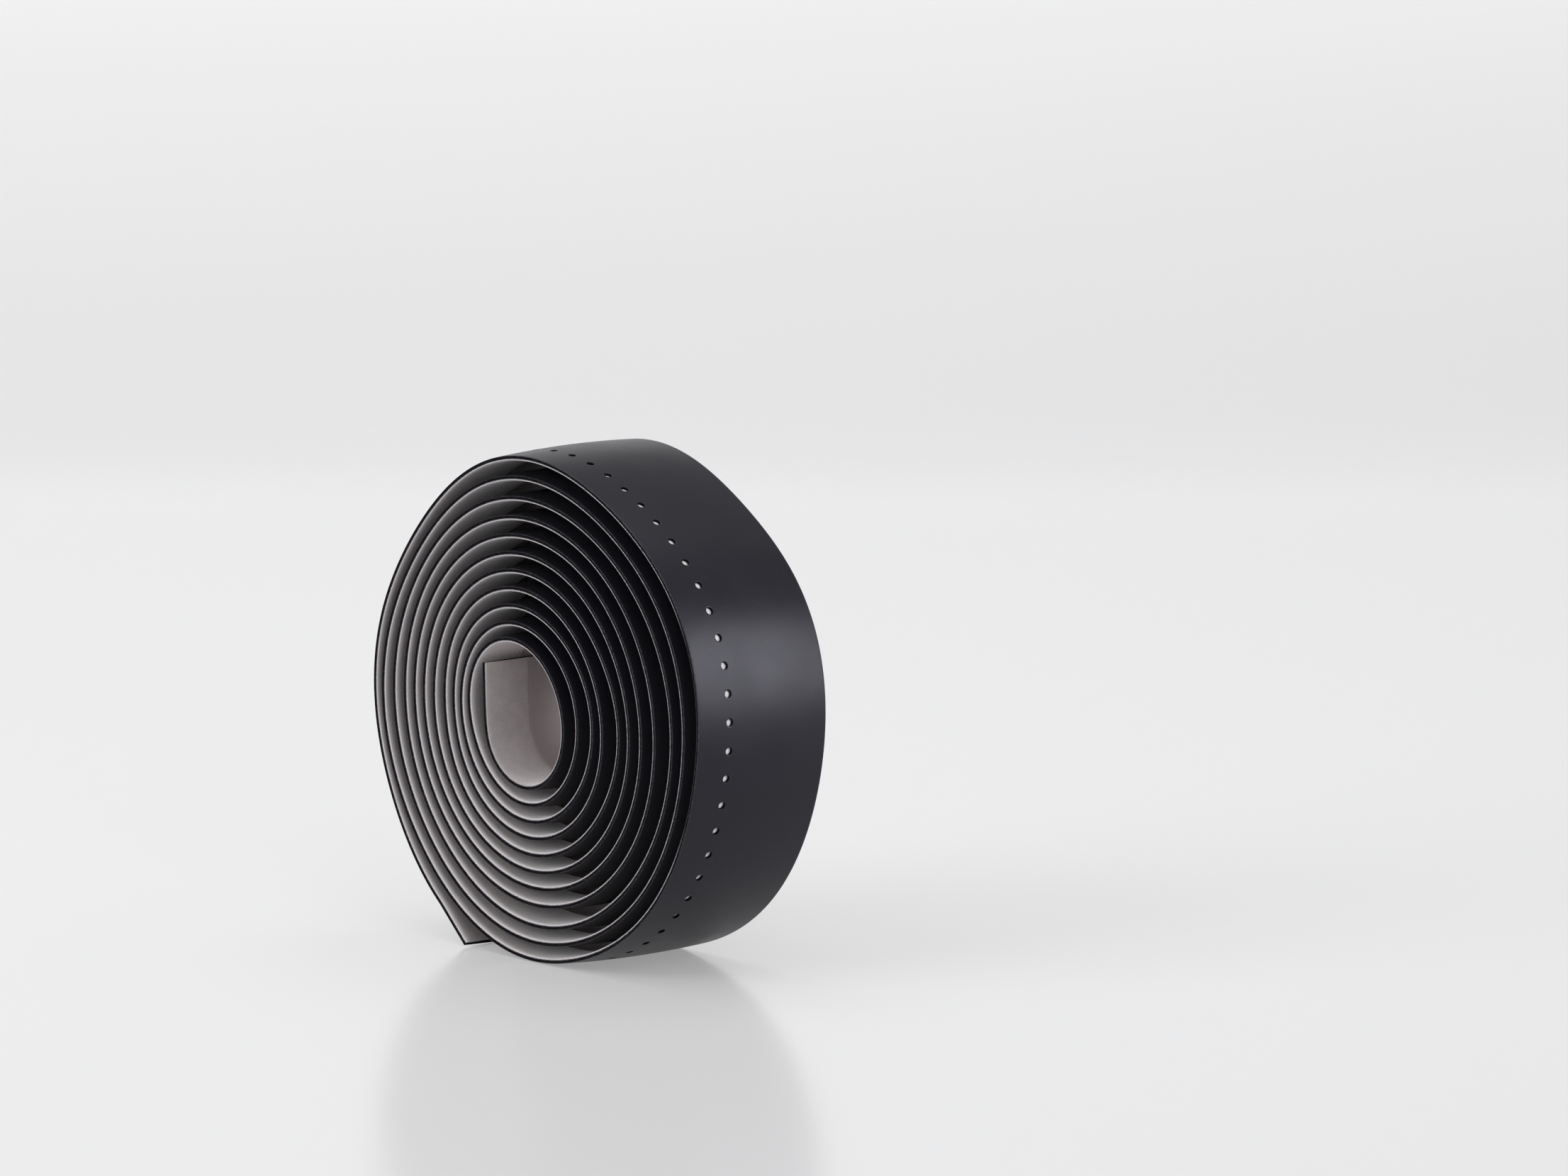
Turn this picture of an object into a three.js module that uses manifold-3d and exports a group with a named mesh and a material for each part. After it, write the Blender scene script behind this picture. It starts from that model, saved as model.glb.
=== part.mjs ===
// A roll of perforated handlebar tape, loosely wound and standing on its rim.
// Millimetres, Z up. X runs across the roll, Y runs across the width of the tape.
// The strip starts at its tail, which props on the floor at -X, and winds inwards:
// up the -X side, over the top, down the +X side, and so on to its end in the eye.
// The origin is on the floor, under the middle of the roll.

import * as THREE from 'three';
import { mergeVertices } from 'three/addons/utils/BufferGeometryUtils.js';
import Module from 'manifold-3d';

// The strip: thin cut edges, and a crown along its middle on the skin side
const TAPE_WIDTH = 30;
const EDGE_THICKNESS = 1.05;
const CROWN_RISE = 0.5;
const CROWN_WIDTH = 14;

// The row of perforations, pressed through the dark layers and not the pale backing.
// The turns inside hide theirs, so only this many turns, counted from the tail, have them.
const HOLE_PITCH = 5;
const HOLE_DIAMETER = 1.6;
const HOLE_DEPTH = 0.7;
const HOLE_FROM_EDGE = 7;
const HOLE_SIDES = 8;
const PUNCHED_TURNS = 1.07;

// The release liner that covers the glue line on the back of the strip
const LINER_WIDTH = 10;
const LINER_THICKNESS = 0.1;
const LINER_CLEARANCE = 0.05;

// The winding, counted in turns from the tail, with angles from +X towards +Z
const WOUND_TURNS = 11.23;
const EYE_RADIUS = 10.9;
const TURN_GAP = 1.61;
const TAIL_ANGLE = 247;
const TAIL_LEAVES_AT = 0.035;
const EYE_END_LENGTH = 6.6;

// The eye of the roll sits below and to the -X side of its outside
const EYE_OFFSET_X = -5.3;
const EYE_OFFSET_Z = -1.25;

// How finely the route of the strip is laid out and measured
const WAYPOINTS_PER_TURN = 40;
const LENGTH_SAMPLES = 12000;
const WELD_DISTANCE = 1e-5;

// A soft roll rests on a small flat spot, this deep
const FLAT_SPOT_SINK = 0.25;

// Swells of the hand-wound roll: how many round a turn, how high, where the first crest
// lies, and over how many outer turns it dies out (Infinity where it runs to the eye)
const SWELLS = [
  { crests: 0, high: 0.9, at: 0, fades: 2.2 },
  { crests: 2, high: 0.85, at: 121, fades: Infinity },
  { crests: 2, high: 0.82, at: 40, fades: 2.2 },
  { crests: 4, high: 0.45, at: 11, fades: 2.2 },
  { crests: 5, high: 0.42, at: 29, fades: 2.2 },
];

// Local bulges (high above 0) and dents: direction, half spread in degrees, the turn that
// holds the middle of it, and its half spread in turns
const BULGES = [
  { at: 195, spread: 30, turn: 0, turns: 0.7, high: -1.25 },
  { at: 215, spread: 35, turn: 0, turns: 0.35, high: 0.5 },
  { at: 265, spread: 20, turn: 0.95, turns: 0.3, high: 0.45 },
  { at: 0, spread: 45, turn: 2.5, turns: 0.7, high: 1.0 },
  { at: 270, spread: 30, turn: 2.5, turns: 0.7, high: 1.05 },
  { at: 0, spread: 30, turn: 6.5, turns: 0.7, high: 1.1 },
  { at: 180, spread: 30, turn: 7.5, turns: 1.2, high: -0.75 },
  { at: 15, spread: 45, turn: 9, turns: 0.7, high: 1.35 },
  { at: 140, spread: 40, turn: 10.3, turns: 0.6, high: 0.7 },
  { at: 180, spread: 40, turn: WOUND_TURNS + 0.07, turns: 0.35, high: -1.7 },
];

const turnPitch = EDGE_THICKNESS + CROWN_RISE + TURN_GAP;
const skinHeight = EDGE_THICKNESS / 2 + CROWN_RISE;
const outerRadius = EYE_RADIUS + turnPitch * WOUND_TURNS;

// How far the turn stands off the plain spiral, at a direction and a turn
function standOff(degrees, turn) {
  let sum = 0;
  for (const { crests, high, at, fades } of SWELLS) {
    const wave = Math.cos(THREE.MathUtils.degToRad(crests * (degrees - at)));
    sum += high * wave * Math.exp(-((turn / fades) ** 2));
  }
  for (const { at, spread, turn: middle, turns, high } of BULGES) {
    const away = THREE.MathUtils.euclideanModulo(degrees - at + 180, 360) - 180;
    sum += high * Math.exp(-((away / spread) ** 2) - ((turn - middle) / turns) ** 2);
  }
  return sum;
}

// A point of the strip's middle line, halfway across its width
function woundPoint(turn) {
  const degrees = TAIL_ANGLE - 360 * turn;
  const radius = outerRadius - turnPitch * turn + standOff(degrees, turn);
  const inward = turn / WOUND_TURNS;
  const angle = THREE.MathUtils.degToRad(degrees);
  const x = EYE_OFFSET_X * inward + radius * Math.cos(angle);
  const z = EYE_OFFSET_Z * inward + radius * Math.sin(angle);
  return new THREE.Vector3(x, 0, z);
}

// The unit direction that points out of the roll, square to a direction along the strip
function outward(along) {
  return new THREE.Vector3(-along.z, 0, along.x).normalize();
}

// The wound part of the strip, without its two straight ends
function woundPart() {
  const count = Math.ceil((WOUND_TURNS - TAIL_LEAVES_AT) * WAYPOINTS_PER_TURN);
  const points = [];
  for (let i = 0; i <= count; i += 1) {
    const turn = THREE.MathUtils.lerp(TAIL_LEAVES_AT, WOUND_TURNS, i / count);
    points.push(woundPoint(turn));
  }
  return points;
}

// The height of the floor: the lowest skin of the wound part, less the flat spot
function floorUnder(points) {
  const lowest = Math.min(...points.map((point) => point.z));
  return lowest - skinHeight + FLAT_SPOT_SINK;
}

// The whole route: a straight tail down to the floor, the turns, a straight end in the eye
function stripRoute() {
  const turns = woundPart();
  const floor = floorUnder(turns);
  const [first, second] = turns;
  const down = first.clone().sub(second).normalize();
  const tipSkin = outward(down.clone().negate()).multiplyScalar(skinHeight);
  const drop = first.z + tipSkin.z - floor;
  const tip = first.clone().addScaledVector(down, drop / -down.z);
  const [beforeLast, last] = turns.slice(-2);
  const onward = last.clone().sub(beforeLast).normalize();
  const eyeEnd = last.clone().addScaledVector(onward, EYE_END_LENGTH);
  const halfway = (a, b) => a.clone().lerp(b, 0.5);
  const points = [tip, halfway(tip, first), ...turns, halfway(last, eyeEnd), eyeEnd];
  return { floor, path: new THREE.CatmullRomCurve3(points) };
}

const { floor, path } = stripRoute();
path.arcLengthDivisions = LENGTH_SAMPLES;
const steps = Math.round(path.getLength() / HOLE_PITCH);

// Sweeps a section along the strip. Section points are [across, height above middle line].
function sweepStrip(section) {
  const shape = new THREE.Shape(section.map(([across, height]) => new THREE.Vector2(across, -height)));
  return new THREE.ExtrudeGeometry(shape, { steps, extrudePath: path, bevelEnabled: false });
}

// The strip's own section, with the skin pressed flat where it rests on the floor
function tapeBlank() {
  const edge = TAPE_WIDTH / 2;
  const back = -EDGE_THICKNESS / 2;
  const geometry = sweepStrip([
    [-edge, back],
    [edge, back],
    [edge, EDGE_THICKNESS / 2],
    [CROWN_WIDTH / 2, skinHeight],
    [-CROWN_WIDTH / 2, skinHeight],
    [-edge, EDGE_THICKNESS / 2],
  ]);
  const position = geometry.attributes.position;
  for (let i = 0; i < position.count; i += 1) {
    position.setZ(i, Math.max(position.getZ(i), floor));
  }
  return geometry;
}

// The cutters for the perforations, one at the middle of each step of the punched turns
function holeCutters() {
  const slopeWidth = (TAPE_WIDTH - CROWN_WIDTH) / 2;
  const slopeShare = Math.min(HOLE_FROM_EDGE / slopeWidth, 1);
  const surface = EDGE_THICKNESS / 2 + CROWN_RISE * slopeShare;
  const radius = HOLE_DIAMETER / 2;
  const height = 2 * HOLE_DEPTH + CROWN_RISE;
  const stations = path.getSpacedPoints(steps);
  const punchedLength = PUNCHED_TURNS * 2 * Math.PI * outerRadius;
  const count = Math.min(steps, Math.floor(punchedLength / HOLE_PITCH));
  const cutters = [];
  for (let i = 0; i < count; i += 1) {
    const out = outward(stations[i + 1].clone().sub(stations[i]));
    const cutter = new THREE.CylinderGeometry(radius, radius, height, HOLE_SIDES);
    cutter.applyQuaternion(new THREE.Quaternion().setFromUnitVectors(new THREE.Vector3(0, 1, 0), out));
    const centre = stations[i].clone().lerp(stations[i + 1], 0.5);
    centre.addScaledVector(out, surface - HOLE_DEPTH + height / 2);
    cutter.translate(centre.x, HOLE_FROM_EDGE - TAPE_WIDTH / 2, centre.z);
    cutters.push(cutter);
  }
  return cutters;
}

const wasm = await Module();
wasm.setup();

function toSolid(geometry) {
  const bare = geometry.clone();
  bare.deleteAttribute('normal');
  bare.deleteAttribute('uv');
  const merged = mergeVertices(bare, WELD_DISTANCE);
  const mesh = new wasm.Mesh({
    numProp: 3,
    vertProperties: Float32Array.from(merged.attributes.position.array),
    triVerts: Uint32Array.from(merged.index.array),
  });
  return new wasm.Manifold(mesh);
}

function toGeometry(solid) {
  const { vertProperties, triVerts } = solid.getMesh();
  const geometry = new THREE.BufferGeometry();
  geometry.setAttribute('position', new THREE.BufferAttribute(vertProperties, 3));
  geometry.setIndex(new THREE.BufferAttribute(triVerts, 1));
  geometry.computeVertexNormals();
  return geometry;
}

function tapeGeometry() {
  let solid = toSolid(tapeBlank());
  for (const cutter of holeCutters()) {
    solid = solid.subtract(toSolid(cutter));
  }
  return toGeometry(solid);
}

function linerGeometry() {
  const outerFace = -EDGE_THICKNESS / 2 - LINER_CLEARANCE;
  const innerFace = outerFace - LINER_THICKNESS;
  const half = LINER_WIDTH / 2;
  return sweepStrip([
    [-half, innerFace],
    [half, innerFace],
    [half, outerFace],
    [-half, outerFace],
  ]);
}

const tapeMaterial = new THREE.MeshStandardMaterial({ color: 0x302f35, roughness: 0.5, metalness: 0 });
const linerMaterial = new THREE.MeshStandardMaterial({ color: 0x9a8f90, roughness: 0.6, metalness: 0 });

const tape = new THREE.Mesh(tapeGeometry(), tapeMaterial);
tape.name = 'tape';
const liner = new THREE.Mesh(linerGeometry(), linerMaterial);
liner.name = 'release_liner';

const roll = new THREE.Group();
const extent = new THREE.Box3().setFromObject(tape);
roll.position.set(-(extent.min.x + extent.max.x) / 2, 0, -floor);
roll.add(tape, liner);

export default roll;
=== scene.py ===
"""A roll of perforated handlebar tape, loosely wound, standing on its rim on a pale studio floor."""

import math

import bmesh
import bpy
from mathutils import Matrix, Vector


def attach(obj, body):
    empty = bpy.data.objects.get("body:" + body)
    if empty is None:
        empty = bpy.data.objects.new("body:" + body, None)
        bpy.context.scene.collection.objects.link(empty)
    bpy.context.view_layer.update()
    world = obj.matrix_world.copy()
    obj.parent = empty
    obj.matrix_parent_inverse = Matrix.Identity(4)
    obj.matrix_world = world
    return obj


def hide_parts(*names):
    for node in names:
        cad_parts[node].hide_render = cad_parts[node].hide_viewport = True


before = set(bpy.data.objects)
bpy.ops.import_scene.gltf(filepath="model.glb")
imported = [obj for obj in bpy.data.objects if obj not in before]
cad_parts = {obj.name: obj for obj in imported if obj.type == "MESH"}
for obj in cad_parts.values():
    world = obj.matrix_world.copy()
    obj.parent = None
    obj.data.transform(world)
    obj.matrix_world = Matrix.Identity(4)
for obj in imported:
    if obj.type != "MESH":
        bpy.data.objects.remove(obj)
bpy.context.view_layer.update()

MM = 0.001

# The strip, across its width (mm). Heights count from the middle line of its cut edge, which slants
# in towards the back and is pinched there.
TAPE_WIDTH = 30.0
EDGE_THICKNESS = 1.05
CROWN_RISE = 0.5
BACKING_THICKNESS = 0.4
EDGE_SLANT = 0.15
EDGE_PINCH = 0.16
HALF_WIDTH = TAPE_WIDTH / 2
EDGE_TOP = EDGE_THICKNESS / 2
BACK_FACE = -EDGE_THICKNESS / 2
BACKING_TOP = BACK_FACE + BACKING_THICKNESS
SKIN_HEIGHT = EDGE_TOP + CROWN_RISE

# The row of perforations (mm). Each sits in a round collar, in the middle of a square patch of skin.
HOLE_PITCH = 5.0
HOLE_RADIUS = 0.7
HOLE_DEPTH = 0.5
HOLE_FROM_EDGE = 7.0
HOLE_LINE = HOLE_FROM_EDGE - HALF_WIDTH
HOLE_HALF_PATCH = 1.25
HOLE_COLLAR = 1.0
HOLE_FLOOR_RISE = 0.12
HOLE_SIDES = 16

# The outer turns were pulled a little longer in winding, and the inner ones less (mm)
OUTER_STRETCH = 5.3

# The release liner (mm). A narrow band along each of its edges curls off the strip by a hair.
LINER_WIDTH = 10.0
LINER_THICKNESS = 0.1
LINER_CLEARANCE = 0.05
LINER_EDGE_LIFT = 0.05
LINER_EDGE_BAND = 0.8

# The winding, in turns from the tail, with angles in degrees from +X towards +Z
WOUND_TURNS = 11.23
EYE_RADIUS = 10.9
TURN_GAP = 1.61
TURN_PITCH = EDGE_THICKNESS + CROWN_RISE + TURN_GAP
TAIL_ANGLE = 247.0
TAIL_LEAVES_AT = 0.035
EYE_END_LENGTH = 6.6
EYE_OFFSET_X = -5.3
EYE_OFFSET_Z = -1.25
FLAT_SPOT_SINK = 0.25

# How finely the route is laid out: its points, and the part of a turn that gives a direction
ROUTE_POINTS = 4600
STRAIGHT_STEP = 0.025

# The cells of the strip, each one hole pitch long, with the perforation halfway along
STRIP_CELLS = 409
STEPS_PER_CELL = 4
HOLE_STEP = 2
STRIP_LENGTH = STRIP_CELLS * HOLE_PITCH

# Swells: how many crests round a turn, how high (mm), where the first lies, how many turns it fades over
SWELLS = [
    (0, 0.9, 0, 2.2),
    (2, 0.85, 121, None),
    (2, 0.82, 40, 2.2),
    (4, 0.45, 11, 2.2),
    (5, 0.42, 29, 2.2),
]

# Bulges and dents: direction, half spread (degrees), middle turn, half spread (turns), height (mm)
BULGES = [
    (195, 30, 0, 0.7, -1.25),
    (215, 35, 0, 0.35, 0.5),
    (265, 20, 0.95, 0.3, 0.45),
    (0, 45, 2.5, 0.7, 1.0),
    (270, 30, 2.5, 0.7, 1.05),
    (0, 30, 6.5, 0.7, 1.1),
    (180, 30, 7.5, 1.2, -0.75),
    (15, 45, 9, 0.7, 1.35),
    (140, 40, 10.3, 0.6, 0.7),
    (180, 40, WOUND_TURNS + 0.07, 0.35, -1.7),
]

# The far rim of the outer turns stands a little proud of the near one, but for one dip (mm, degrees)
FAR_RIM_PROUD = 0.5
FAR_RIM_DIP = 0.95
FAR_RIM_DIP_AT = 55.0
FAR_RIM_DIP_SPREAD = 24.0
FAR_RIM_FADES = 1.8

# The small unevenness of soft material (mm), and how often it comes in a metre along and across
SOFTNESS = 0.05
RIM_WANDER = 0.12
HOLE_WANDER = 0.06
HOLE_WANDER_SEED = 4
SOFT_SWELLS_PER_METRE = (40.0, 70.0, 0.0)
RIM_WANDERS_PER_METRE = 9.0

# Points closer than this are one point (mm), and edges that bend more than this are creases (degrees)
WELD_DISTANCE = 0.002
CREASE_ANGLE = 38.0

# Along one stretch of the outer turn the pale edge is worn down to the dark foam (mm from the tail)
WORN_EDGE_AT = 195.0
WORN_EDGE_SPREAD = 26.0

# Near the strip's end in the eye the pale edge is no lighter than the suede (mm from the tail)
DULL_EDGE_FROM = STRIP_LENGTH - 38.0
DULL_EDGE_FADE = 12.0

# Round the eye, but for its very end, the back of the strip is painted paler: painted light that falls
# into the eye (mm from the tail)
PAINTED_EYE_LIGHT_FROM = STRIP_LENGTH - 75.0
PAINTED_EYE_LIGHT_TO = STRIP_LENGTH - 36.0
PAINTED_EYE_LIGHT_FADES = 14.0

# Where loose fibres show on the skin's rims, and where the suede's rims are painted paler as painted rim
# light (mm), counted from the middle of the width; where loose fibres show in the foam, counted in height,
# and in a narrow band of foam above the backing
SKIN_FRAYS_FROM = 14.72
SKIN_FRAYED_AT = 14.95
SUEDE_RIM_LIGHT_FROM = 13.8
SUEDE_RIM_LIGHT_FULL_AT = 15.05
FOAM_FLECKS_AT = 0.26
FOAM_FLECKS_SPREAD = 0.16
FOAM_FIBRES_BAND = 0.15

# The liner is darker in a band along each edge (mm)
LINER_DARK_BAND = 0.5

# The sweep (m), measured from the roll away from the camera: the floor, its bend and the backdrop,
# and the height from which it is palest
SWEEP_FRONT = -2.5
SWEEP_BEND_AT = 0.6
SWEEP_BEND_RADIUS = 0.5
SWEEP_BEND_STEPS = 16
SWEEP_TOP = 0.6
SWEEP_HALF_WIDTH = 3.0
SWEEP_PALE_FROM = 0.25

# How much the sweep is lifted towards white where it is looked at, where 1 is white
FLOOR_LIFT = 0.28

# What the lamps are turned to (m)
ROLL_CENTRE = (0.0, 0.0, 0.045)
BACKDROP_CENTRE = (-0.75, 0.7, 0.1)

# The camera, fitted to the photograph
CAMERA_AZIMUTH = math.radians(48.5)
CAMERA_ELEVATION = math.radians(8.6)
CAMERA_DISTANCE = 1.6
PHOTO_WIDTH = 2212
PHOTO_HEIGHT = 1659
FOCAL_PIXELS = 12416
SENSOR_WIDTH = 36.0

# The photograph shows this point of the near rim's plane at this pixel
SEEN_POINT = Vector((0.767, -HALF_WIDTH, 46.94)) * MM
SEEN_AT = (755, 1001)

# Colours of the finishes, in linear light
SKIN_DARKER = (0.005, 0.005, 0.008, 1)
SKIN_LIGHTER = (0.008, 0.0077, 0.0115, 1)
SKIN_HAZE = (0.07, 0.07, 0.075, 1)
SKIN_DUST = (0.16, 0.16, 0.17, 1)
SKIN_FIBRES = (0.17, 0.162, 0.175, 1)
SKIN_GLOSS = (0.87, 0.86, 1.0, 1)
FOAM_PITS = (0.0015, 0.0012, 0.002, 1)
FOAM_WALLS = (0.007, 0.006, 0.008, 1)
FOAM_FLECKS = (0.12, 0.112, 0.125, 1)
FOAM_FIBRES = (0.34, 0.325, 0.335, 1)
SUEDE_DARKER = (0.42, 0.383, 0.38, 1)
SUEDE_LIGHTER = (0.5, 0.458, 0.453, 1)
# The suede's colour round the eye, painted paler as painted light falling into the eye
SUEDE_PAINTED_EYE_LIGHT = (0.82, 0.765, 0.76, 1)
SUEDE_GRAIN = (0.32, 0.29, 0.29, 1)
SUEDE_PORES = (0.18, 0.16, 0.16, 1)
# The suede's rims, painted paler as painted rim light
SUEDE_RIM_LIGHT = (0.76, 0.72, 0.73, 1)
EDGE_PALE = (0.7, 0.67, 0.69, 1)
EDGE_HOLLOWS = (0.4, 0.375, 0.385, 1)
EDGE_HOLLOWS_PLUS_X = (0.1, 0.09, 0.1, 1)
EDGE_DULL = (0.36, 0.335, 0.335, 1)
EDGE_WORN = (0.006, 0.005, 0.006, 1)
HOLE_FLOOR_DARKER = (0.56, 0.55, 0.56, 1)
HOLE_FLOOR_LIGHTER = (0.84, 0.83, 0.84, 1)
FILM_DARKER = (0.28, 0.25, 0.25, 1)
FILM_LIGHTER = (0.34, 0.3, 0.3, 1)
# The film's colour round the eye, painted paler as painted light falling into the eye
FILM_PAINTED_EYE_LIGHT = (0.6, 0.54, 0.535, 1)
FILM_RIM = (0.34, 0.305, 0.3, 1)
FLOOR_GREY = (0.51, 0.51, 0.515, 1)
BACKDROP_GREY = (0.9, 0.9, 0.9, 1)
ROOM_LIGHT = (0.38, 0.38, 0.39, 1)
WHITE = (1, 1, 1, 1)


class Nodes:
    """Writes arithmetic and other nodes into one node tree, geometry or shader."""

    def __init__(self, tree):
        self.tree = tree

    def put(self, socket, value):
        """Links another node's output to a socket, or sets its value."""
        if isinstance(value, bpy.types.NodeSocket):
            self.tree.links.new(value, socket)
        elif value is not None:
            socket.default_value = value

    def add(self, kind, settings=None, **inputs):
        """A new node with its settings and with its inputs, named with underscores for spaces."""
        node = self.tree.nodes.new(kind)
        for name, value in (settings or {}).items():
            setattr(node, name, value)
        for name, value in inputs.items():
            self.put(node.inputs[name.replace("_", " ")], value)
        return node

    def math(self, operation, *values):
        node = self.tree.nodes.new("ShaderNodeMath")
        node.operation = operation
        for socket, value in zip(node.inputs, values):
            self.put(socket, value)
        return node.outputs[0]

    def vector(self, operation, *values):
        node = self.tree.nodes.new("ShaderNodeVectorMath")
        node.operation = operation
        for socket, value in zip(node.inputs, values):
            self.put(socket, value)
        return node.outputs["Vector"]

    def scaled(self, vector, factor):
        node = self.tree.nodes.new("ShaderNodeVectorMath")
        node.operation = "SCALE"
        self.put(node.inputs[0], vector)
        self.put(node.inputs["Scale"], factor)
        return node.outputs["Vector"]

    def combined(self, x, y, z):
        return self.add("ShaderNodeCombineXYZ", X=x, Y=y, Z=z).outputs[0]

    def split(self, vector):
        return self.add("ShaderNodeSeparateXYZ", Vector=vector).outputs

    def total(self, values):
        result = values[0]
        for value in values[1:]:
            result = self.math("ADD", result, value)
        return result

    def attribute(self, name, data_type):
        """An attribute that the geometry carries."""
        node = self.add("GeometryNodeInputNamedAttribute", {"data_type": data_type}, Name=name)
        return node.outputs["Attribute"]

    def effect(self, group, **inputs):
        """What a shared surface effect puts out for this material's own values."""
        return self.add("ShaderNodeGroup", {"node_tree": group}, **inputs).outputs


def new_group(name, kind, inputs, outputs):
    """A node group with named inputs (type, name, default) and outputs (type, name)."""
    tree = bpy.data.node_groups.new(name, kind)
    for socket_type, label, default in inputs:
        socket = tree.interface.new_socket(label, in_out="INPUT", socket_type=socket_type)
        if default is not None:
            socket.default_value = default
    for socket_type, label in outputs:
        tree.interface.new_socket(label, in_out="OUTPUT", socket_type=socket_type)
    return tree, Nodes(tree), tree.nodes.new("NodeGroupInput"), tree.nodes.new("NodeGroupOutput")


# The winding

WINDING_SIZES = [
    ("NodeSocketFloat", "Wound Turns", WOUND_TURNS),
    ("NodeSocketFloat", "Eye Radius", EYE_RADIUS * MM),
    ("NodeSocketFloat", "Turn Pitch", TURN_PITCH * MM),
    ("NodeSocketFloat", "Tail Angle", TAIL_ANGLE),
    ("NodeSocketFloat", "Eye Offset X", EYE_OFFSET_X * MM),
    ("NodeSocketFloat", "Eye Offset Z", EYE_OFFSET_Z * MM),
]


def bell(n, value, spread):
    """How near to 0 a value is: 1 at 0, falling over the spread."""
    share = n.math("DIVIDE", value, spread)
    return n.math("EXPONENT", n.math("MULTIPLY", n.math("MULTIPLY", share, share), -1.0))


def degrees_from(n, degrees, at):
    """The signed angle from a direction, between -180 and 180."""
    return n.math("WRAP", n.math("SUBTRACT", degrees, float(at)), 180.0, -180.0)


def winding_group():
    """The middle line of the strip: its place in the XZ plane at a turn counted from the tail."""
    tree, n, given, result = new_group(
        "Winding", "GeometryNodeTree",
        [("NodeSocketFloat", "Turn", 0.0)] + WINDING_SIZES,
        [("NodeSocketVector", "Position")],
    )
    turn = given.outputs["Turn"]
    degrees = n.math("SUBTRACT", given.outputs["Tail Angle"], n.math("MULTIPLY", turn, 360.0))
    left = n.math("SUBTRACT", given.outputs["Wound Turns"], turn)
    even = n.math("MULTIPLY_ADD", left, given.outputs["Turn Pitch"], given.outputs["Eye Radius"])
    parts = [even]
    for crests, high, at, fades in SWELLS:
        past_crest = n.math("SUBTRACT", degrees, float(at))
        angle = n.math("RADIANS", n.math("MULTIPLY", past_crest, float(crests)))
        wave = n.math("MULTIPLY", n.math("COSINE", angle), high * MM)
        parts.append(n.math("MULTIPLY", wave, bell(n, turn, fades)) if fades else wave)
    for at, spread, middle, turns, high in BULGES:
        around = bell(n, degrees_from(n, degrees, at), float(spread))
        along = bell(n, n.math("SUBTRACT", turn, float(middle)), float(turns))
        parts.append(n.math("MULTIPLY", n.math("MULTIPLY", around, along), high * MM))
    radius = n.total(parts)
    inward = n.math("DIVIDE", turn, given.outputs["Wound Turns"])
    angle = n.math("RADIANS", degrees)
    offset_x = n.math("MULTIPLY", inward, given.outputs["Eye Offset X"])
    offset_z = n.math("MULTIPLY", inward, given.outputs["Eye Offset Z"])
    x = n.math("MULTIPLY_ADD", radius, n.math("COSINE", angle), offset_x)
    z = n.math("MULTIPLY_ADD", radius, n.math("SINE", angle), offset_z)
    n.put(result.inputs["Position"], n.combined(x, 0.0, z))
    return tree


def outward_from(n, along):
    """The unit direction out of the roll, square to a direction along the strip."""
    parts = n.split(along)
    return n.vector("NORMALIZE", n.combined(n.math("MULTIPLY", parts["Z"], -1.0), 0.0, parts["X"]))


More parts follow.
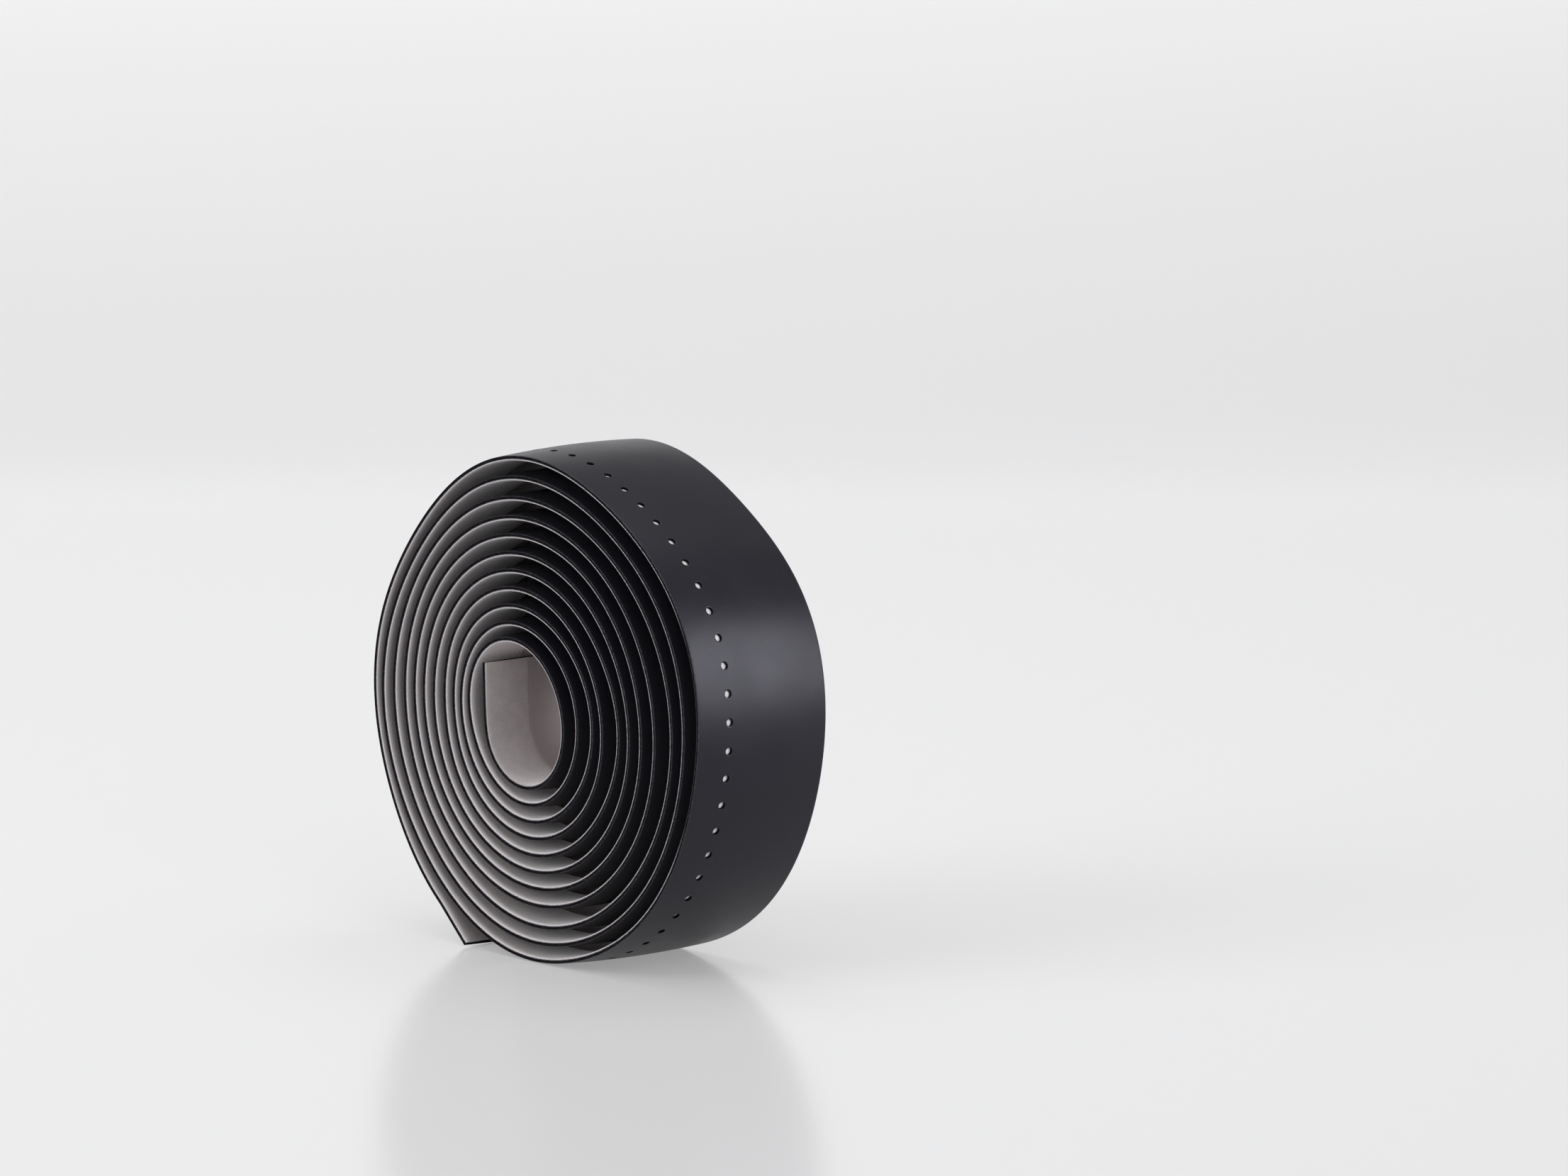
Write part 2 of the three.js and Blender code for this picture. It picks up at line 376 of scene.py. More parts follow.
def route_group(winding):
    """The strip's whole route as a curve, with the turn stored on it, standing on the floor."""
    tree, n, given, result = new_group(
        "Strip Route", "GeometryNodeTree",
        WINDING_SIZES + [
            ("NodeSocketInt", "Route Points", ROUTE_POINTS),
            ("NodeSocketFloat", "Tail Leaves At", TAIL_LEAVES_AT),
            ("NodeSocketFloat", "Eye End Length", EYE_END_LENGTH * MM),
            ("NodeSocketFloat", "Straight Step", STRAIGHT_STEP),
            ("NodeSocketFloat", "Skin Height", SKIN_HEIGHT * MM),
            ("NodeSocketFloat", "Flat Spot Sink", FLAT_SPOT_SINK * MM),
        ],
        [("NodeSocketGeometry", "Curve")],
    )

    def wound(turn):
        node = n.add("GeometryNodeGroup", {"node_tree": winding}, Turn=turn)
        for _, label, _ in WINDING_SIZES:
            n.put(node.inputs[label], given.outputs[label])
        return node.outputs["Position"]

    count = given.outputs["Route Points"]
    leaves = given.outputs["Tail Leaves At"]
    last_turn = given.outputs["Wound Turns"]
    step = given.outputs["Straight Step"]
    line = n.add("GeometryNodeCurvePrimitiveLine")
    chain = n.add("GeometryNodeResampleCurve", Curve=line.outputs["Curve"], Count=count)
    index = n.add("GeometryNodeInputIndex").outputs["Index"]

    # All points but the first and the last lie on the turns
    share = n.math("DIVIDE", n.math("SUBTRACT", index, 1.0), n.math("SUBTRACT", count, 3.0))
    clamped = n.add("ShaderNodeClamp", Value=share).outputs["Result"]
    turn = n.math("MULTIPLY_ADD", clamped, n.math("SUBTRACT", last_turn, leaves), leaves)
    stored = n.add(
        "GeometryNodeStoreNamedAttribute", {"data_type": "FLOAT", "domain": "POINT"},
        Geometry=chain.outputs["Curve"], Name="turn", Value=turn,
    )
    spiral = n.add("GeometryNodeSetPosition", Geometry=stored.outputs["Geometry"], Position=wound(turn))

    # The floor lies under the lowest skin of the turns, less the flat spot
    place = n.add("GeometryNodeInputPosition").outputs["Position"]
    span = n.add(
        "GeometryNodeAttributeStatistic", {"data_type": "FLOAT_VECTOR", "domain": "POINT"},
        Geometry=spiral.outputs["Geometry"],
    )
    n.put(next(s for s in span.inputs if s.type == "VECTOR"), place)
    low = next(s for s in span.outputs if s.name == "Min" and s.type == "VECTOR")
    high = next(s for s in span.outputs if s.name == "Max" and s.type == "VECTOR")
    sink = n.math("SUBTRACT", given.outputs["Flat Spot Sink"], given.outputs["Skin Height"])
    floor = n.math("ADD", n.split(low)["Z"], sink)

    # The first point runs straight on from the turns, down to where its skin meets the floor
    first = wound(leaves)
    down = n.vector("NORMALIZE", n.vector("SUBTRACT", first, wound(n.math("ADD", leaves, step))))
    down_parts = n.split(down)
    tip_skin = n.math("MULTIPLY", n.math("MULTIPLY", down_parts["X"], -1.0), given.outputs["Skin Height"])
    drop = n.math("SUBTRACT", n.math("ADD", n.split(first)["Z"], tip_skin), floor)
    tail = n.math("DIVIDE", drop, n.math("MULTIPLY", down_parts["Z"], -1.0))
    tip = n.vector("ADD", first, n.scaled(down, tail))

    # The last point runs straight on across the eye
    last = wound(last_turn)
    before_last = wound(n.math("SUBTRACT", last_turn, step))
    onward = n.vector("NORMALIZE", n.vector("SUBTRACT", last, before_last))
    eye_end = n.vector("ADD", last, n.scaled(onward, given.outputs["Eye End Length"]))

    with_tail = n.add(
        "GeometryNodeSetPosition", Geometry=spiral.outputs["Geometry"],
        Selection=n.math("COMPARE", index, 0.0, 0.5), Position=tip,
    )
    whole = n.add(
        "GeometryNodeSetPosition", Geometry=with_tail.outputs["Geometry"],
        Selection=n.math("COMPARE", index, n.math("SUBTRACT", count, 1.0), 0.5), Position=eye_end,
    )
    middle = n.math("MULTIPLY", n.math("ADD", n.split(low)["X"], n.split(high)["X"]), -0.5)
    standing = n.add(
        "GeometryNodeSetPosition", Geometry=whole.outputs["Geometry"],
        Offset=n.combined(middle, 0.0, n.math("MULTIPLY", floor, -1.0)),
    )
    n.put(result.inputs["Curve"], standing.outputs["Geometry"])
    return tree


def wound_strip_tree(name, route, materials):
    """Repeats one flat cell of the strip along its length and winds it along the route."""
    tree, n, given, result = new_group(
        name, "GeometryNodeTree",
        [
            ("NodeSocketGeometry", "Geometry", None),
            ("NodeSocketInt", "Cells", STRIP_CELLS),
            ("NodeSocketFloat", "Cell Length", HOLE_PITCH * MM),
            ("NodeSocketFloat", "Outer Stretch", OUTER_STRETCH * MM),
            ("NodeSocketFloat", "Far Rim Proud", FAR_RIM_PROUD * MM),
            ("NodeSocketFloat", "Far Rim Dip", FAR_RIM_DIP * MM),
            ("NodeSocketFloat", "Softness", SOFTNESS * MM),
            ("NodeSocketFloat", "Rim Wander", RIM_WANDER * MM),
            ("NodeSocketFloat", "Hole Wander", HOLE_WANDER * MM),
            ("NodeSocketInt", "Seed", HOLE_WANDER_SEED),
        ],
        [("NodeSocketGeometry", "Geometry")],
    )
    cells = given.outputs["Cells"]
    cell_length = given.outputs["Cell Length"]

    # The cells in a row, joined into one flat strip that keeps its flat places as an attribute
    stations = n.add("GeometryNodeMeshLine", Count=cells, Offset=n.combined(cell_length, 0.0, 0.0))
    copies = n.add(
        "GeometryNodeInstanceOnPoints",
        Points=stations.outputs["Mesh"], Instance=given.outputs["Geometry"],
    )
    real = n.add("GeometryNodeRealizeInstances", Geometry=copies.outputs["Instances"])
    joined = n.add(
        "GeometryNodeMergeByDistance", Geometry=real.outputs["Geometry"], Distance=WELD_DISTANCE * MM,
    )
    flat = n.add("GeometryNodeInputPosition").outputs["Position"]
    kept = n.add(
        "GeometryNodeStoreNamedAttribute", {"data_type": "FLOAT_VECTOR", "domain": "POINT"},
        Geometry=joined.outputs["Geometry"], Name="strip", Value=flat,
    )

    strip = n.attribute("strip", "FLOAT_VECTOR")
    along, across, height = (n.split(strip)[axis] for axis in "XYZ")
    curve = n.add("GeometryNodeGroup", {"node_tree": route}).outputs["Curve"]
    whole = n.add("GeometryNodeCurveLength", Curve=curve).outputs["Length"]
    flat_length = n.math("MULTIPLY", cells, cell_length)

    # The edge of each perforation wanders a little, so that no two are quite alike
    cell = n.math("FLOOR", n.math("DIVIDE", along, cell_length))
    jitter = n.add(
        "FunctionNodeRandomValue", {"data_type": "FLOAT_VECTOR"},
        ID=cell, Seed=given.outputs["Seed"],
    )
    jitter.inputs["Min"].default_value = (-1.0, -1.0, -1.0)
    jitter.inputs["Max"].default_value = (1.0, 1.0, 1.0)
    reach = n.math("MULTIPLY", n.attribute("ring", "FLOAT"), given.outputs["Hole Wander"])
    shove = n.scaled(jitter.outputs["Value"], reach)
    shove_parts = n.split(shove)
    along = n.math("ADD", along, shove_parts["X"])
    across = n.math("ADD", across, shove_parts["Y"])

    # Where each point of the flat strip comes to lie on the route
    half_wave = n.math("SINE", n.math("MULTIPLY", n.math("DIVIDE", along, flat_length), math.pi))
    pulled = n.math("MULTIPLY_ADD", half_wave, given.outputs["Outer Stretch"], along)
    there = n.add(
        "GeometryNodeSampleCurve", {"mode": "LENGTH", "use_all_curves": True, "data_type": "FLOAT"},
        Curves=curve, Length=n.math("DIVIDE", n.math("MULTIPLY", pulled, whole), flat_length),
    )
    n.put(next(s for s in there.inputs if s.name == "Value" and s.enabled), n.attribute("turn", "FLOAT"))
    turn = next(s for s in there.outputs if s.name == "Value" and s.enabled)
    degrees = n.math("SUBTRACT", TAIL_ANGLE, n.math("MULTIPLY", turn, 360.0))

    # How far the far side leans out
    dipped = bell(n, degrees_from(n, degrees, FAR_RIM_DIP_AT), FAR_RIM_DIP_SPREAD)
    dip = n.math("MULTIPLY", dipped, given.outputs["Far Rim Dip"])
    proud = n.math("SUBTRACT", given.outputs["Far Rim Proud"], dip)
    outer = bell(n, n.math("MULTIPLY", turn, turn), FAR_RIM_FADES ** 2)
    far = n.math("MULTIPLY_ADD", across, 1.0 / (TAPE_WIDTH * MM), 0.5)
    lean = n.math("MULTIPLY", n.math("MULTIPLY", far, outer), proud)

    # Soft swells of the skin, and a rim that wanders a little from side to side
    stretch = n.vector("MULTIPLY", strip, SOFT_SWELLS_PER_METRE)
    soft = n.add("ShaderNodeTexNoise", {"noise_dimensions": "3D"}, Vector=stretch, Scale=1.0, Detail=1.0)
    swell = n.math("MULTIPLY", n.math("SUBTRACT", soft.outputs[0], 0.5), given.outputs["Softness"])
    drift = n.add(
        "ShaderNodeTexNoise", {"noise_dimensions": "1D"},
        W=n.math("MULTIPLY", along, RIM_WANDERS_PER_METRE), Scale=1.0, Detail=0.0,
    )
    wander = n.math("MULTIPLY", n.math("SUBTRACT", drift.outputs[0], 0.5), given.outputs["Rim Wander"])

    out = n.scaled(outward_from(n, there.outputs["Tangent"]), n.total([height, lean, swell]))
    sideways = n.combined(0.0, n.math("ADD", across, wander), 0.0)
    wound = n.vector("ADD", n.vector("ADD", there.outputs["Position"], out), sideways)
    bent = n.add("GeometryNodeSetPosition", Geometry=kept.outputs["Geometry"], Position=wound)

    # What would sink into the floor is pressed flat against it
    place = n.split(n.add("GeometryNodeInputPosition").outputs["Position"])
    pressed = n.add(
        "GeometryNodeSetPosition", Geometry=bent.outputs["Geometry"],
        Position=n.combined(place["X"], place["Y"], n.math("MAXIMUM", place["Z"], 0.0)),
    )
    realized = n.add("GeometryNodeRealizeInstances", Geometry=pressed.outputs["Geometry"])
    geometry = realized.outputs["Geometry"]
    finish = n.attribute("finish", "INT")
    for number, material in enumerate(materials):
        chosen = n.math("COMPARE", finish, float(number), 0.5)
        node = n.add("GeometryNodeSetMaterial", Geometry=geometry, Selection=chosen)
        node.inputs["Material"].default_value = material
        geometry = node.outputs["Geometry"]
    n.put(result.inputs["Geometry"], geometry)
    return tree


# The flat cells that the strip repeats

def crown(across):
    """The height of the skin at a distance from the middle of the width (mm)."""
    return EDGE_TOP + CROWN_RISE * (1 - (across / HALF_WIDTH) ** 2)


def edge_at(height):
    """How far the cut edge stands from the middle of the width at a height: it slants in to the back."""
    return HALF_WIDTH - EDGE_SLANT * (EDGE_TOP - height) / EDGE_THICKNESS


def mirrored(near):
    """The far side of a section, like its near side and in the order that goes on round it."""
    return [(-across, height, finish) for across, height, finish in reversed(near)]


# Each piece's finishes, as places in its list of materials
SKIN, CUT, HOLE_FLOOR = 0, 1, 2
SUEDE, PALE_EDGE = 0, 1
FILM = 0


def cover_section():
    """The dark skin and foam, anticlockwise from the near edge's foot: (across, height, finish) in mm."""
    near = [
        (-edge_at(BACKING_TOP) + 0.07, BACKING_TOP - 0.02, CUT),
        (-edge_at(BACKING_TOP) + 0.02, BACKING_TOP + 0.05, CUT),
        (-edge_at(0.0) + 0.015, 0.0, CUT),
        (-edge_at(0.2), 0.2, CUT),
        (-edge_at(0.4), 0.4, CUT),
        (-edge_at(0.44), 0.44, SKIN),
        (-edge_at(0.49) + 0.01, 0.49, SKIN),
        (-edge_at(0.5) + 0.05, crown(14.95) - 0.01, SKIN),
    ]
    round_hole = [-HOLE_LINE + HOLE_HALF_PATCH, -HOLE_LINE, -HOLE_LINE - HOLE_HALF_PATCH]
    tops = [14.82, 14.45, 13.5, 12.0, 10.5] + round_hole + [5.3, 3.6, 1.8]
    near += [(-top, crown(top), SKIN) for top in tops]
    return near + [(0.0, crown(0.0), SKIN)] + mirrored(near)


def backing_section():
    """The pale suede backing, anticlockwise from the near edge's foot."""
    foot = BACK_FACE + EDGE_PINCH
    near = [
        (-edge_at(BACK_FACE) + 0.14, foot, PALE_EDGE),
        (-edge_at(BACK_FACE) + 0.05, foot + 0.03, PALE_EDGE),
        (-edge_at(BACK_FACE) + 0.01, foot + 0.07, PALE_EDGE),
        (-edge_at(BACKING_TOP) + 0.01, BACKING_TOP - 0.05, PALE_EDGE),
        (-edge_at(BACKING_TOP) + 0.06, BACKING_TOP, PALE_EDGE),
    ]
    far = mirrored(near)
    far_foot, foot_height, _ = far.pop()
    bevel = [
        (14.35, BACK_FACE + 0.06, SUEDE),
        (13.8, BACK_FACE + 0.015, SUEDE),
        (12.8, BACK_FACE, SUEDE),
    ]
    flat = [(across, BACK_FACE, SUEDE) for across in (10.0, 5.5, 0.0, -5.5, -10.0)]
    return near + far + [(far_foot, foot_height, SUEDE)] + bevel + flat + mirrored(bevel)


def liner_section():
    """The liner's film, anticlockwise from its near edge's foot."""
    half = LINER_WIDTH / 2
    band = half - LINER_EDGE_BAND
    outer = BACK_FACE - LINER_CLEARANCE
    inner = outer - LINER_THICKNESS
    near = [
        (-half + 0.03, inner - LINER_EDGE_LIFT, FILM),
        (-half, inner - LINER_EDGE_LIFT + 0.04, FILM),
        (-half + 0.02, outer - LINER_EDGE_LIFT, FILM),
        (-band, outer, FILM),
        (-2.0, outer, FILM),
    ]
    back = [(across, inner, FILM) for across in (band, 2.0, 0.0, -2.0, -band)]
    return near + mirrored(near) + back


def strip_cell(section, with_hole):
    """One flat cell of the strip, one hole pitch long, as a mesh (along X, across Y, height Z)."""
    bm = bmesh.new()
    finish_layer = bm.faces.layers.int.new("finish")
    ring_layer = bm.verts.layers.float.new("ring")
    step = HOLE_PITCH / STEPS_PER_CELL
    hole_row = []
    if with_hole:
        patch = HOLE_HALF_PATCH + WELD_DISTANCE
        hole_row = [j for j, (across, _, _) in enumerate(section) if abs(across - HOLE_LINE) < patch]
    grid = []
    for i in range(STEPS_PER_CELL + 1):
        row = []
        for j, (across, height, _) in enumerate(section):
            centre = with_hole and i == HOLE_STEP and j == hole_row[1]
            row.append(None if centre else bm.verts.new((i * step * MM, across * MM, height * MM)))
        grid.append(row)
    for i in range(STEPS_PER_CELL):
        for j, (_, _, finish) in enumerate(section):
            after = (j + 1) % len(section)
            corners = (grid[i][j], grid[i + 1][j], grid[i + 1][after], grid[i][after])
            if None not in corners:
                face = bm.faces.new(corners)
                face[finish_layer] = finish
    if with_hole:
        punch(bm, grid, hole_row, finish_layer, ring_layer)
    mesh = bpy.data.meshes.new("cell")
    bm.to_mesh(mesh)
    bm.free()
    return mesh


def punch(bm, grid, hole_row, finish_layer, ring_layer):
    """Fills the gap in the cell's skin with a round blind perforation."""
    a, b, c = hole_row
    i = HOLE_STEP
    border = [
        grid[i + 1][b], grid[i + 1][c], grid[i][c], grid[i - 1][c],
        grid[i - 1][b], grid[i - 1][a], grid[i][a], grid[i + 1][a],
    ]
    centre = i * HOLE_PITCH / STEPS_PER_CELL

    # The rings of the hole: radius, height above the skin, and share of the hole's wander
    floor_wander = 0.6
    profile = [
        (HOLE_COLLAR, 0.0, 0.5),
        (HOLE_RADIUS + 0.09, 0.012, 1.0),
        (HOLE_RADIUS, -0.03, 1.0),
        (HOLE_RADIUS - 0.02, -0.12, 1.0),
        (HOLE_RADIUS - 0.03, -HOLE_DEPTH, floor_wander),
    ]
    rings = []
    for radius, rise, wander in profile:
        ring = []
        for k in range(HOLE_SIDES):
            angle = 2 * math.pi * k / HOLE_SIDES
            across = HOLE_LINE + radius * math.sin(angle)
            along = centre + radius * math.cos(angle)
            vert = bm.verts.new((along * MM, across * MM, (crown(across) + rise) * MM))
            vert[ring_layer] = wander
            ring.append(vert)
        rings.append(ring)
    per_side = HOLE_SIDES // len(border)
    collar = rings[0]
    for side, corner in enumerate(border):
        start = side * per_side
        following = border[(side + 1) % len(border)]
        half = start + per_side // 2
        end = (start + per_side) % HOLE_SIDES
        fan = [
            (corner, collar[half], collar[start]),
            (corner, following, collar[half]),
            (following, collar[end], collar[half]),
        ]
        for trio in fan:
            bm.faces.new(trio)[finish_layer] = SKIN
    for outer, inner, finish in zip(rings, rings[1:], (SKIN, SKIN, CUT, CUT)):
        for k in range(HOLE_SIDES):
            after = (k + 1) % HOLE_SIDES
            bm.faces.new((outer[k], outer[after], inner[after], inner[k]))[finish_layer] = finish
    floor_height = crown(HOLE_LINE) - HOLE_DEPTH + HOLE_FLOOR_RISE
    middle = bm.verts.new((centre * MM, HOLE_LINE * MM, floor_height * MM))
    middle[ring_layer] = floor_wander
    foot = rings[-1]
    for k in range(HOLE_SIDES):
        bm.faces.new((foot[k], foot[(k + 1) % HOLE_SIDES], middle))[finish_layer] = HOLE_FLOOR


def wind(name, cell, route, materials):
    """Winds a cell into a finished piece: a plain closed mesh that rides on the roll."""
    source = bpy.data.objects.new(name + "_flat", cell)
    bpy.context.scene.collection.objects.link(source)
    modifier = source.modifiers.new("wind", "NODES")
    modifier.node_group = wound_strip_tree(name + " wound", route, materials)
    bpy.context.view_layer.update()
    evaluated = source.evaluated_get(bpy.context.evaluated_depsgraph_get())
    mesh = bpy.data.meshes.new_from_object(evaluated)
    bpy.data.objects.remove(source)
    mesh.name = name
    close_ends(mesh)
    piece = bpy.data.objects.new(name, mesh)
    bpy.context.scene.collection.objects.link(piece)
    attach(piece, "root")
    return piece


def close_ends(mesh):
    """Caps the strip's two cut ends and turns every face outwards."""
    bm = bmesh.new()
    bm.from_mesh(mesh)
    open_edges = [edge for edge in bm.edges if edge.is_boundary]
    bmesh.ops.holes_fill(bm, edges=open_edges, sides=0)
    bmesh.ops.recalc_face_normals(bm, faces=bm.faces)
    for face in bm.faces:
        face.smooth = True
    bm.to_mesh(mesh)
    bm.free()
    mesh.set_sharp_from_angle(angle=math.radians(CREASE_ANGLE))
    mesh.update()


# Surface effects shared by the materials

def strip_vector(n):
    """The place on the flat strip, in mm: along, across and height."""
    place = n.add("ShaderNodeAttribute", {"attribute_type": "GEOMETRY", "attribute_name": "strip"})
    return n.scaled(place.outputs["Vector"], 1 / MM)


def specks_group():
    """Sparse round specks: a mask of those that fall inside the given share of cells."""
    tree, n, given, result = new_group(
        "Specks", "ShaderNodeTree",
        [
            ("NodeSocketVector", "Vector", None),
            ("NodeSocketFloat", "Spacing", 1.0),
            ("NodeSocketFloat", "Size", 0.1),
            ("NodeSocketFloat", "Share", 0.3),
        ],
        [("NodeSocketFloat", "Mask")],
    )
    scaled = n.scaled(given.outputs["Vector"], n.math("DIVIDE", 1.0, given.outputs["Spacing"]))
    cells = n.add("ShaderNodeTexVoronoi", {"feature": "F1"}, Vector=scaled, Scale=1.0)
    chance = n.add("ShaderNodeSeparateColor", Color=cells.outputs["Color"]).outputs["Red"]
    present = n.math("LESS_THAN", chance, given.outputs["Share"])
    reach = n.math("MULTIPLY", n.math("DIVIDE", given.outputs["Size"], given.outputs["Spacing"]), 0.5)
    near = n.math("SUBTRACT", 1.0, n.math("DIVIDE", cells.outputs["Distance"], reach))
    shape = n.math("MAXIMUM", near, 0.0)
    firm = n.math("MINIMUM", n.math("MULTIPLY", shape, 2.0), 1.0)
    n.put(result.inputs["Mask"], n.math("MULTIPLY", firm, present))
    return tree


def mottle_group():
    """A soft uneven tone and a fine grain, each from 0 to 1 and of its own size."""
    tree, n, given, result = new_group(
        "Mottle", "ShaderNodeTree",
        [
            ("NodeSocketVector", "Vector", None),
            ("NodeSocketFloat", "Broad", 8.0),
            ("NodeSocketFloat", "Fine", 0.2),
        ],
        [("NodeSocketFloat", "Tone"), ("NodeSocketFloat", "Grain")],
    )
    for label, size, detail in (("Tone", "Broad", 3.0), ("Grain", "Fine", 2.0)):
        scaled = n.scaled(given.outputs["Vector"], n.math("DIVIDE", 1.0, given.outputs[size]))
        noise = n.add(
            "ShaderNodeTexNoise", {"noise_dimensions": "3D"}, Vector=scaled, Scale=1.0, Detail=detail,
        )
        n.put(result.inputs[label], noise.outputs[0])
    return tree


def blank_material(name):
    """A new material, a writer for its nodes, and its surface shader."""
    material = bpy.data.materials.new(name)
    material.use_nodes = True
    n = Nodes(material.node_tree)
    shader = next(node for node in material.node_tree.nodes if node.type == "BSDF_PRINCIPLED")
    return material, n, shader


def mixed(n, share, one, other):
    """A colour between two, by a share from 0 to 1."""
    node = n.tree.nodes.new("ShaderNodeMix")
    node.data_type = "RGBA"
    colours = [s for s in node.inputs if s.type == "RGBA"]
    n.put(node.inputs[0], share)
    n.put(colours[0], one)
    n.put(colours[1], other)
    return next(s for s in node.outputs if s.type == "RGBA")


def bumped(n, height, distance, strength=1.0):
    """The normal of a fine relief, from its pattern of heights and how high it stands (m)."""
    return n.add("ShaderNodeBump", Height=height, Distance=distance, Strength=strength).outputs["Normal"]


def remap(n, value, low, high, to_low, to_high):
    """A value between two others, stretched to lie between two new ones, and held there beyond."""
    node = n.add("ShaderNodeMapRange", Value=value)
    for label, number in (("From Min", low), ("From Max", high), ("To Min", to_low), ("To Max", to_high)):
        node.inputs[label].default_value = number
    return node.outputs["Result"]


def painted_eye_light(n, along):
    """Where the back of the strip is painted paler, as painted light falling into the eye: 1 round the
    eye, 0 elsewhere.
    """
    starts = remap(n, along, PAINTED_EYE_LIGHT_FROM - PAINTED_EYE_LIGHT_FADES, PAINTED_EYE_LIGHT_FROM, 0.0, 1.0)
    ends = remap(n, along, PAINTED_EYE_LIGHT_TO, PAINTED_EYE_LIGHT_TO + PAINTED_EYE_LIGHT_FADES, 1.0, 0.0)
    return n.math("MULTIPLY", starts, ends)


def frayed_rim(n, place, mottle):
    """Loose pale fibres along both rims of the skin: a mask that thickens towards the cut edge."""
    fibres = n.effect(mottle, Vector=place, Broad=0.9, Fine=0.11)
    across = n.math("ABSOLUTE", n.split(place)["Y"])
    shown = remap(n, fibres["Grain"], 0.52, 0.64, 0.0, 1.0)
    return n.math("MULTIPLY", shown, remap(n, across, SKIN_FRAYS_FROM, SKIN_FRAYED_AT, 0.0, 0.8))


def skin_material(specks, mottle):
    """Smooth matt charcoal skin with a fine leathery grain and a little dust."""
    material, n, shader = blank_material("charcoal_skin")
    place = strip_vector(n)
    leather = n.effect(mottle, Vector=place, Broad=9.0, Fine=0.16)
    dust = n.effect(specks, Vector=place, Spacing=1.1, Size=0.16, Share=0.16)
    haze = n.effect(specks, Vector=place, Spacing=0.45, Size=0.14, Share=0.3)
    base = mixed(n, leather["Tone"], SKIN_DARKER, SKIN_LIGHTER)
    hazy = mixed(n, n.math("MULTIPLY", haze["Mask"], 0.35), base, SKIN_HAZE)
    dusty = mixed(n, n.math("MULTIPLY", dust["Mask"], 0.6), hazy, SKIN_DUST)
    n.put(shader.inputs["Base Color"], mixed(n, frayed_rim(n, place, mottle), dusty, SKIN_FIBRES))
    n.put(shader.inputs["Roughness"], remap(n, leather["Tone"], 0.3, 0.7, 0.36, 0.41))
    shader.inputs["Specular IOR Level"].default_value = 0.32
    shader.inputs["Specular Tint"].default_value = SKIN_GLOSS
    n.put(shader.inputs["Normal"], bumped(n, leather["Grain"], 0.006 * MM))
    return material


def foam_material(specks, mottle):
    """The cut foam of the edge: dark, open cells, with pale flecks of fibre."""
    material, n, shader = blank_material("dark_foam")
    place = strip_vector(n)
    cells = n.effect(mottle, Vector=place, Broad=1.2, Fine=0.11)
    flecks = n.effect(specks, Vector=place, Spacing=0.42, Size=0.22, Share=0.34)
    height = n.split(place)["Z"]
    band = bell(n, n.math("SUBTRACT", height, FOAM_FLECKS_AT), FOAM_FLECKS_SPREAD)
    fading = remap(n, cells["Tone"], 0.38, 0.62, 0.1, 0.8)
    fibres = remap(n, cells["Grain"], 0.56, 0.7, 0.0, 1.0)
    loose = n.math("MAXIMUM", fibres, flecks["Mask"])
    shown = n.math("MULTIPLY", n.math("MULTIPLY", loose, band), fading)
    grain = remap(n, cells["Grain"], 0.35, 0.68, 0.0, 1.0)
    base = mixed(n, grain, FOAM_PITS, FOAM_WALLS)
    flecked = mixed(n, shown, base, FOAM_FLECKS)

    # Pale fibres are pulled out of the backing into the foam just above it
    by_backing = remap(n, height, BACKING_TOP, BACKING_TOP + FOAM_FIBRES_BAND, 1.0, 0.0)
    pulled = n.math("MULTIPLY", by_backing, remap(n, cells["Grain"], 0.42, 0.56, 0.0, 1.0))
    n.put(shader.inputs["Base Color"], mixed(n, pulled, flecked, FOAM_FIBRES))
    shader.inputs["Roughness"].default_value = 0.9
    shader.inputs["Specular IOR Level"].default_value = 0.06
    n.put(shader.inputs["Normal"], bumped(n, cells["Grain"], 0.05 * MM))
    return material


def suede_material(specks, mottle):
    """The soft, pale, warm grey suede of the back, with small dark pores."""
    material, n, shader = blank_material("grey_suede")
    place = strip_vector(n)
    nap = n.effect(mottle, Vector=place, Broad=2.2, Fine=0.26)
    pores = n.effect(specks, Vector=place, Spacing=0.45, Size=0.2, Share=0.35)
    tone = remap(n, nap["Tone"], 0.3, 0.7, 0.0, 1.0)
    worked = mixed(n, tone, SUEDE_DARKER, SUEDE_LIGHTER)
    parts = n.split(place)
    # Paler round the eye: painted light falling into the eye
    base = mixed(n, painted_eye_light(n, parts["X"]), worked, SUEDE_PAINTED_EYE_LIGHT)
    grained = mixed(n, remap(n, nap["Grain"], 0.35, 0.65, 0.0, 0.6), base, SUEDE_GRAIN)
    pored = mixed(n, n.math("MULTIPLY", pores["Mask"], 0.45), grained, SUEDE_PORES)

    # Painted rim light: paler along both rims, up to where the strip's end turns dull
    across = n.math("ABSOLUTE", parts["Y"])
    uneven = n.math("MULTIPLY_ADD", nap["Grain"], 0.3, across)
    rim = remap(n, uneven, SUEDE_RIM_LIGHT_FROM, SUEDE_RIM_LIGHT_FULL_AT, 0.0, 1.0)
    lively = remap(n, parts["X"], DULL_EDGE_FROM, DULL_EDGE_FROM + DULL_EDGE_FADE, 1.0, 0.1)
    painted_rim_light = n.math("MULTIPLY", n.math("MULTIPLY", rim, rim), lively)
    n.put(shader.inputs["Base Color"], mixed(n, painted_rim_light, pored, SUEDE_RIM_LIGHT))
    shader.inputs["Roughness"].default_value = 0.92
    shader.inputs["Specular IOR Level"].default_value = 0.2
    shader.inputs["Sheen Weight"].default_value = 0.5
    shader.inputs["Sheen Roughness"].default_value = 0.4
    n.put(shader.inputs["Normal"], bumped(n, nap["Grain"], 0.03 * MM))
    return material


